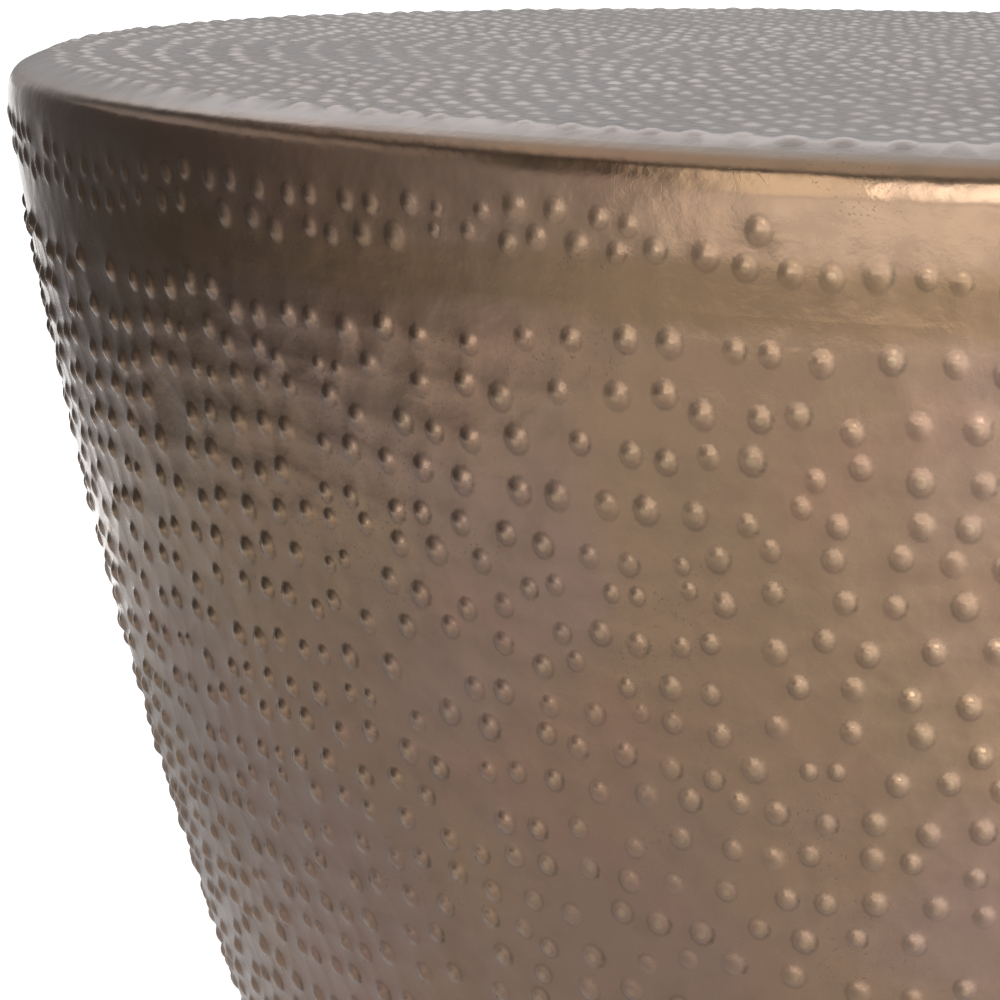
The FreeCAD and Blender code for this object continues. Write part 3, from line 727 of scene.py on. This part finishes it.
side_rise = math.atan2(edge_up - side_up, edge_out - side_out)
joint_out = JOINT_RADIUS - side_out
joint_down = side_up - JOINT_HEIGHT
skirt_lean = math.atan2(joint_down, joint_out) - math.acos(SIDE_ROUND / math.hypot(joint_out, joint_down))
skirt_top_radius = side_out + SIDE_ROUND * math.cos(skirt_lean)
skirt_top_height = side_up - SIDE_ROUND * math.sin(skirt_lean)
skirt_length = (skirt_top_height - JOINT_HEIGHT) / math.cos(skirt_lean)
strip_length = skirt_length + SIDE_ROUND * skirt_lean
skirt_girth = 2 * math.pi * TOP_RADIUS
pan_sizes = {
    "Bump radius": 0.0053,
    "Bump steepness": 0.188,
    "Lightest blow": 0.9,
    "Bump pitch": 0.0138,
    "Ring pitch": 0.0137,
    "First ring": 0.00685,
    "Jitter": 0.0034,
    "Wander": 0.016,
    "Seed": 5,
}
skirt_sizes = {
    "Skirt bump radius": 0.0047,
    "Skirt steepness": 0.18,
    "Skirt bump pitch": 0.0122,
    "Skirt row pitch": 0.0098,
    "Skirt border": 0.0142,
    "Skirt jitter": 0.0040,
    "Skirt wander": 0.014,
}
pan_tree, pan = shape_tree("hammered_top", {**pan_sizes, **skirt_sizes})


def field_points(graph, size):
    """Rings of bumps, each with as many as its own girth holds."""
    index = graph.node("GeometryNodeInputIndex")[0]
    last_ring = BEATEN_EDGE - pan_sizes["Bump radius"]
    rings = int((last_ring - pan_sizes["First ring"]) / pan_sizes["Ring pitch"]) + 1
    most_in_ring = math.ceil(2 * math.pi * BEATEN_EDGE / pan_sizes["Bump pitch"]) + 3
    ring = (index / most_in_ring).floor()
    step = index % most_in_ring
    radius = ring * size["Ring pitch"] + size["First ring"]
    in_ring = (radius * 2 * math.pi / size["Bump pitch"] / 3).round() * 3
    start = on_axis(graph, radius, step / in_ring * 2 * math.pi, 0.0)
    wander_across, wander_along, _ = clouds(graph, start, 9.0).parts()
    across, along, _ = start.parts()
    jitter_across = chance(graph, size["Seed"], -0.5, 0.5) * size["Jitter"]
    jitter_along = chance(graph, size["Seed"] + 1, -0.5, 0.5) * size["Jitter"]
    across = across + jitter_across + (wander_across - 0.5) * size["Wander"]
    along = along + jitter_along + (wander_along - 0.5) * size["Wander"]
    limit = BEATEN_EDGE - size["Bump radius"] * MARGIN - chance(graph, size["Seed"] + 6, 0.0, RAGGED_EDGE)
    pull = (limit / (across * across + along * along).root()).least(1.0)
    place = graph.vector(across * pull, along * pull, 0.0)
    sockets = {"Count": rings * most_in_ring, "Position": place}
    points = graph.node("GeometryNodePoints", {}, sockets)[0]
    points = drop_points(graph, points, step + 0.5 > in_ring)
    out = graph.vector_sum("LENGTH", place_of(graph))["Value"]
    force = out.ramp(EASED_FROM, EASED_TO, 1.0, EASED_FORCE)
    return size_bumps(graph, points, place_of(graph), BEATEN_EDGE - out, 1.0, size, 1.0, force)


def field_up(out):
    """The height of the beaten sheet: level in the middle, then down the border."""
    past = (out - CROWN_RADIUS).most(0.0)
    drop = BORDER_ROUND - (BORDER_ROUND * BORDER_ROUND - past * past).root()
    return TOP_HEIGHT - drop.most(FIELD_SINK)


def skirt_place(graph, flat, height):
    """Wraps a point of the flat skirt round the leaning edge of the top and the side of its rim."""
    across, along, _ = flat.parts()
    run = along + strip_length / 2
    below = (skirt_length - run).most(0.0)
    angle = (run - skirt_length).most(0.0) / SIDE_ROUND - skirt_lean
    reach = height + SIDE_ROUND
    radius = reach * angle.cos() - below * math.sin(skirt_lean) + side_out
    up = reach * angle.sin() - below * math.cos(skirt_lean) + side_up
    return on_axis(graph, radius, across / TOP_RADIUS, up)


SKIRT_ROWS = 2
SKIRT_STAGGER = 0.4
LOWER_LIKELY = 0.96
CLUSTERS = 3
CLUSTER_LIKELY = 0.95
BETWEEN_LIKELY = 0.08
CLUSTER_ANGLE = math.radians(-132)


def skirt_points(graph, size):
    """One row that is nearly whole, and another above it that comes and goes."""
    index = graph.node("GeometryNodeInputIndex")[0]
    in_row = int(skirt_girth / skirt_sizes["Skirt bump pitch"])
    row = (index / in_row).floor()
    step = index % in_row
    across = ((step + 0.5 + row * SKIRT_STAGGER) / in_row % 1.0 - 0.5) * skirt_girth
    start = graph.vector(across, 0.0, 0.0)
    cluster = ((across / TOP_RADIUS - CLUSTER_ANGLE) * CLUSTERS).cos()
    wander = noise(graph, start, 9.0, detail=1.0, roll=4.0) - 0.5
    along = row * size["Skirt row pitch"] + size["Skirt border"] - strip_length / 2
    across = across + chance(graph, size["Seed"], -0.5, 0.5) * size["Skirt jitter"]
    along = along + chance(graph, size["Seed"] + 1, -0.5, 0.5) * size["Skirt jitter"]
    along = along + wander * size["Skirt wander"]
    edge_across = skirt_girth / 2 - size["Skirt bump radius"] * MARGIN
    edge_along = strip_length / 2 - size["Skirt bump radius"] * MARGIN
    across = across.least(edge_across).most(0.0 - edge_across)
    along = along.least(edge_along).most(0.0 - edge_along)
    sockets = {"Count": in_row * SKIRT_ROWS, "Position": graph.vector(across, along, 0.0)}
    points = graph.node("GeometryNodePoints", {}, sockets)[0]
    upper_likely = cluster.ramp(-0.4, 0.4, BETWEEN_LIKELY, CLUSTER_LIKELY)
    likely = (1.0 - row) * LOWER_LIKELY + row * upper_likely
    points = drop_points(graph, points, chance(graph, size["Seed"] + 2) > likely)
    true_place = skirt_place(graph, place_of(graph), place_of(graph).parts()[2])
    bump = {**size, "Bump radius": size["Skirt bump radius"], "Bump steepness": size["Skirt steepness"]}
    flat_across, flat_along, _ = place_of(graph).parts()
    room = (skirt_girth / 2 - abs(flat_across)).least(strip_length / 2 - abs(flat_along))
    return size_bumps(graph, points, true_place, room, 1.0, bump)


def turned(graph, rows, profile):
    """A strip turned once round the axis. The profile gives radius and height from a share of its run."""
    sockets = {"Size X": 1.0, "Size Y": 1.0, "Vertices X": PAN_COLUMNS + 1, "Vertices Y": rows + 1}
    grid = graph.node("GeometryNodeMeshGrid", {}, sockets)[0]
    across, along, _ = place_of(graph).parts()
    radius, up = profile(along + 0.5)
    return move(graph, grid, on_axis(graph, radius, across * 2 * math.pi, up))


def arc_profile(centre, radius, start, end):
    """A round run about a centre, between two angles above level."""
    def profile(share):
        angle = share * (end - start) + start
        return angle.cos() * radius + centre[0], angle.sin() * radius + centre[1]
    return profile


def line_profile(start, end):
    """A straight run from one radius and height to another."""
    def profile(share):
        return tuple(share * (last - first) + first for first, last in zip(start, end))
    return profile


side_centre = (side_out, side_up)
beaten_slant = math.asin((BEATEN_EDGE - CROWN_RADIUS) / BORDER_ROUND)
RIM_ROUNDS = (
    (border_centre, BORDER_ROUND, math.pi / 2 - border_slant, math.pi / 2 - beaten_slant, 6),
    ((edge_out, edge_up), EDGE_ROUND, side_rise, math.pi / 2 - border_slant, 8),
    (side_centre, SIDE_ROUND, 0.0, side_rise, 4),
)


def rim(graph, depth):
    """The three rounds of the rim, joined, at a depth under the outside of the sheet."""
    runs = []
    for centre, radius, start, end, rows in RIM_ROUNDS:
        rows = rows if depth == 0.0 else rows // 2
        runs.append(turned(graph, rows, arc_profile(centre, radius - depth, start, end)))
    return join(graph, *runs)


FIELD_DOME = (10, 3)
SKIRT_DOME = (12, 4)
SKIRT_EDGE_ROWS = 8
sockets = {"Resolution": PAN_COLUMNS, "Radius": BEATEN_EDGE}
circle = pan_tree.node("GeometryNodeCurvePrimitiveCircle", {"mode": "RADIUS"}, sockets)[0]
field = stamp(pan_tree, field_points(pan_tree, pan), circle, *FIELD_DOME, taper=1.0, foot=1.5)
field_across, field_along, _ = place_of(pan_tree).parts()
field_out = (field_across * field_across + field_along * field_along).root()
field_lift = kept(pan_tree, "rise") * kept(pan_tree, "height") + field_up(field_out)
field = move(pan_tree, field, pan_tree.vector(field_across, field_along, field_lift))
skirt_outline = strip_outline(pan_tree, skirt_girth, strip_length, PAN_COLUMNS, SKIRT_EDGE_ROWS)
skirt = stamp(pan_tree, skirt_points(pan_tree, pan), skirt_outline, *SKIRT_DOME)
skirt_lift = kept(pan_tree, "rise") * kept(pan_tree, "height")
skirt = move(pan_tree, skirt, skirt_place(pan_tree, place_of(pan_tree), skirt_lift))
lean_out = GAUGE * math.cos(skirt_lean)
lean_up = GAUGE * math.sin(skirt_lean)
inner_foot = (JOINT_RADIUS - lean_out, JOINT_HEIGHT + lean_up)
inner_head = (skirt_top_radius - lean_out, skirt_top_height + lean_up)
edge = turned(pan_tree, 1, line_profile(inner_foot, (JOINT_RADIUS, JOINT_HEIGHT)))
inner_skirt = turned(pan_tree, 1, line_profile(inner_foot, inner_head))
inner_side = turned(pan_tree, 1, arc_profile(side_centre, SIDE_ROUND - GAUGE, -skirt_lean, 0.0))
inner_round = BORDER_ROUND - GAUGE
field_slant = math.acos(1 - FIELD_SINK / inner_round)
inner_border = arc_profile(border_centre, inner_round, math.pi / 2 - beaten_slant, math.pi / 2 - field_slant)
inner_border = turned(pan_tree, 2, inner_border)
sockets = {"Vertices": PAN_COLUMNS, "Radius": CROWN_RADIUS + inner_round * math.sin(field_slant)}
inner_field = pan_tree.node("GeometryNodeMeshCircle", {"fill_type": "TRIANGLE_FAN"}, sockets)[0]
under = pan_tree.vector(*place_of(pan_tree).parts()[:2], TOP_HEIGHT - FIELD_SINK - GAUGE)
inner_field = move(pan_tree, inner_field, under)
inside = join(pan_tree, inner_skirt, inner_side, rim(pan_tree, GAUGE), inner_border, inner_field)
inside = pan_tree.node("GeometryNodeFlipFaces", {}, {0: inside})[0]
pan_sheet = weld(pan_tree, join(pan_tree, field, skirt, rim(pan_tree, 0.0), edge, inside))
sheet_up = place_of(pan_tree).parts()[2]
upright = sheet_up.ramp(JOINT_HEIGHT + STEADY_RUN, TOP_HEIGHT - STEADY_RUN, 1.0, LAID_FLAT)
end_tree(pan_tree, hand_work(pan_tree, pan_sheet, upright), brass)
top = make_piece("hammered_top", pan_tree, {**pan_sizes, **skirt_sizes})
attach(top, "root")
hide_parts("top_pan")


# Floor: a plain pale sweep that the table stands on, well past the edges of the view.
# It looks white to the camera and in the metal, and still takes the table's shadow.
FLOOR_REACH = 14.0
FLOOR_PALE = 0.9
FLOOR_LIFT = 0.62


def stage_sheet(name, corners):
    """A flat sheet beside the table, with a matt material to be dressed."""
    mesh = bpy.data.meshes.new(name)
    mesh.from_pydata(corners, [], [(0, 1, 2, 3)])
    sheet = bpy.data.objects.new(name, mesh)
    bpy.context.scene.collection.objects.link(sheet)
    material, graph, shader = new_material(name)
    mesh.materials.append(material)
    shader.inputs["Roughness"].default_value = 1.0
    shader.inputs["Specular IOR Level"].default_value = 0.0
    shader.inputs["Emission Strength"].default_value = 1.0
    return sheet, graph, shader


def grey(level):
    return (level, level, level, 1.0)


BLACK = grey(0.0)
corners = [(x * FLOOR_REACH, y * FLOOR_REACH, 0.0) for x, y in ((-1, -1), (1, -1), (1, 1), (-1, 1))]
_, pale, floor_shader = stage_sheet("pale_floor", corners)
floor_shader.inputs["Base Color"].default_value = grey(FLOOR_PALE)
path = pale.node("ShaderNodeLightPath")
seen = path["Is Camera Ray"].most(path["Is Glossy Ray"]).most(path["Is Transmission Ray"])
connect(pale, floor_shader, Emission_Color=pale.mix(seen, BLACK, grey(FLOOR_LIFT)))


# Flags: two grey cards on the left, seen only in the metal, which hold its reflections down there.
# One stands beside the table and the other lies on the floor in front of it.
UNSEEN_BY = ("camera", "diffuse", "shadow", "transmission", "volume_scatter")


def shade_from_camera(card):
    """Leaves a card to reflections alone."""
    for kind in UNSEEN_BY:
        setattr(card, f"visible_{kind}", False)


FLAG_NEAR = (-0.62, -1.2)
FLAG_FAR = (-0.85, 0.7)
FLAG_FOOT = 0.03
FLAG_HEAD = 0.56
FLAG_DARK = (0.1, 0.097, 0.097, 1.0)
FLAG_LIGHT = (0.68, 0.68, 0.70, 1.0)
flag_bottom = [(*end, FLAG_FOOT) for end in (FLAG_NEAR, FLAG_FAR)]
flag_top = [(*end, FLAG_HEAD) for end in (FLAG_FAR, FLAG_NEAR)]
flag, flag_graph, flag_shader = stage_sheet("side_flag", flag_bottom + flag_top)
shade_from_camera(flag)
flag_shader.inputs["Base Color"].default_value = BLACK
_, flag_along, flag_up = object_place(flag_graph).parts()
flag_light = flag_along.ramp(FLAG_NEAR[1], -0.2, 1.0, 0.0).most(flag_along.ramp(0.2, 0.7, 0.0, 0.7))
flag_light = flag_light.most(flag_up.ramp(FLAG_FOOT, 0.2, 0.7, 0.0))
flag_tone = flag_graph.mix(flag_light, FLAG_DARK, FLAG_LIGHT)
connect(flag_graph, flag_shader, Emission_Color=flag_tone)

CARD_HEIGHT = 0.002
CARD_PLAN = ((-1.6, -1.7), (0.9, -1.7), (0.9, 0.5), (-1.6, 0.5))
CARD_NEAR_SHADOW = (0.53, 0.52, 0.525, 1.0)
CARD_MIDDLE = (0.78, 0.77, 0.765, 1.0)
CARD_FAR = (0.6, 0.59, 0.58, 1.0)
card_corners = [(x, y, CARD_HEIGHT) for x, y in CARD_PLAN]
card, card_graph, card_shader = stage_sheet("floor_card", card_corners)
shade_from_camera(card)
card_shader.inputs["Base Color"].default_value = BLACK
card_across, card_along, _ = object_place(card_graph).parts()
card_out = (card_across * card_across + card_along * card_along).root()
# The floor card is darker near the table, a painted shadow of the table on the floor as the metal sees it,
# and darker to the left of the table, another painted shadow there.
card_tone = card_graph.mix(card_out.ramp(0.45, 0.95), CARD_NEAR_SHADOW, CARD_MIDDLE)
card_tone = card_graph.mix(card_out.ramp(0.95, 1.2), card_tone, CARD_FAR)
card_painted_shadow = 1.0 - card_across.ramp(-0.3, -0.6) * card_along.ramp(-0.6, -0.2, 0.0, 0.3)
card_tone = card_graph.mix(card_painted_shadow, BLACK, card_tone)
card_alpha = card_across.ramp(0.6, -0.3) * card_out.ramp(1.2, 1.6, 1.0, 0.0)
connect(card_graph, card_shader, Emission_Color=card_tone, Alpha=card_alpha)


# Light: a soft key box low on the right in front, a broad box overhead for the floor, and a room that
# is white to the camera. In the metal it is pale behind the table and dim in front, with a window there.
KEY_PLACE = (0.62, -2.08, 0.77)
KEY_AIM = (0.0, -0.2, 0.4)
KEY_SIZE = (2.0, 0.75)
KEY_RADIANCE = 3.9
OVERHEAD_PLACE = (0.0, 0.3, 3.0)
OVERHEAD_AIM = (0.0, 0.3, 0.0)
OVERHEAD_SIZE = (3.4, 3.4)
OVERHEAD_RADIANCE = 1.3


def soft_box(name, place, aim, width, height, radiance):
    lamp = bpy.data.lights.new(name, "AREA")
    lamp.shape = "RECTANGLE"
    lamp.size = width
    lamp.size_y = height
    lamp.energy = radiance * math.pi * width * height
    box = bpy.data.objects.new(name, lamp)
    bpy.context.scene.collection.objects.link(box)
    box.location = place
    box.rotation_euler = (Vector(aim) - Vector(place)).to_track_quat("-Z", "Y").to_euler()
    return box


soft_box("key_box", KEY_PLACE, KEY_AIM, *KEY_SIZE, KEY_RADIANCE)
overhead = soft_box("overhead_box", OVERHEAD_PLACE, OVERHEAD_AIM, *OVERHEAD_SIZE, OVERHEAD_RADIANCE)
overhead.visible_glossy = False

FRONT_LEFT = grey(0.1)
FRONT_RIGHT = grey(0.3)
FRONT_WINDOW = (1.9, 1.83, 1.66, 1.0)
FRONT_ABOVE = (0.75, 0.73, 0.7, 1.0)
SIDE_LOW = (0.5, 0.49, 0.48, 1.0)
BACK_FOOT = (0.28, 0.273, 0.271, 1.0)
BACK_LOW = (0.41, 0.4, 0.398, 1.0)
BACK_HIGH = (1.2, 1.2, 1.22, 1.0)
BACK_ABOVE = grey(0.84)
WHITE = grey(1.0)
world = bpy.data.worlds.new("white_room")
bpy.context.scene.world = world
world.use_nodes = True
room = Graph(world.node_tree)
room_across, room_along, room_up = room.node("ShaderNodeTexCoord")["Generated"].parts()
room_front = room.mix(room_across.ramp(-0.3, 0.4), FRONT_LEFT, FRONT_RIGHT)
room_window = room_across.ramp(-0.62, -0.38) * room_across.ramp(-0.28, -0.08, 1.0, 0.0)
room_window = room_window * room_up.ramp(0.45, 0.65, 1.0, 0.0)
room_front = room.mix(room_window, room_front, FRONT_WINDOW)
room_side = room_across.ramp(-0.7, -0.88) * room_up.ramp(0.45, 0.62, 1.0, 0.0)
room_front = room.mix(room_side, room_front, SIDE_LOW)
room_front = room.mix(room_up.ramp(0.62, 0.88), room_front, FRONT_ABOVE)
room_back = room.mix(room_up.ramp(0.02, 0.2), BACK_FOOT, BACK_LOW)
room_back = room.mix(room_up.ramp(0.24, 0.6), room_back, BACK_HIGH)
room_back = room.mix(room_up.ramp(0.66, 0.84), room_back, BACK_ABOVE)
room_level = room.mix((room_along + room_across * 0.9).ramp(-0.05, 0.35), room_front, room_back)
room_seen = room.node("ShaderNodeLightPath")["Is Camera Ray"]
room_tone = room.mix(room_seen, room_level, WHITE)
connect(room, world.node_tree.nodes["Background"], Color=room_tone)


# Camera: at the photograph's angle, low over the rim and turned to the left of the drum.
# Its place and focus were found from the ellipse of the rim and the left edge of the wall.
CAMERA_DISTANCE = 1.1609
CAMERA_HEIGHT = 0.5023
CAMERA_TURN = math.radians(9.365)
CAMERA_DIP = math.radians(12.497)
CAMERA_ROLL = math.radians(0.897)
FOCUS_PIXELS = 2898
IMAGE_PIXELS = 1000
SENSOR_WIDTH = 36.0
camera = bpy.data.objects.new("camera", bpy.data.cameras.new("camera"))
bpy.context.scene.collection.objects.link(camera)
camera.data.sensor_width = SENSOR_WIDTH
camera.data.lens = FOCUS_PIXELS / IMAGE_PIXELS * SENSOR_WIDTH
camera.matrix_world = (
    Matrix.Translation((0.0, -CAMERA_DISTANCE, CAMERA_HEIGHT))
    @ Matrix.Rotation(CAMERA_TURN, 4, "Z")
    @ Matrix.Rotation(math.pi / 2 - CAMERA_DIP, 4, "X")
    @ Matrix.Rotation(CAMERA_ROLL, 4, "Z")
)
bpy.context.scene.camera = camera
bpy.context.scene.view_settings.view_transform = "Standard"
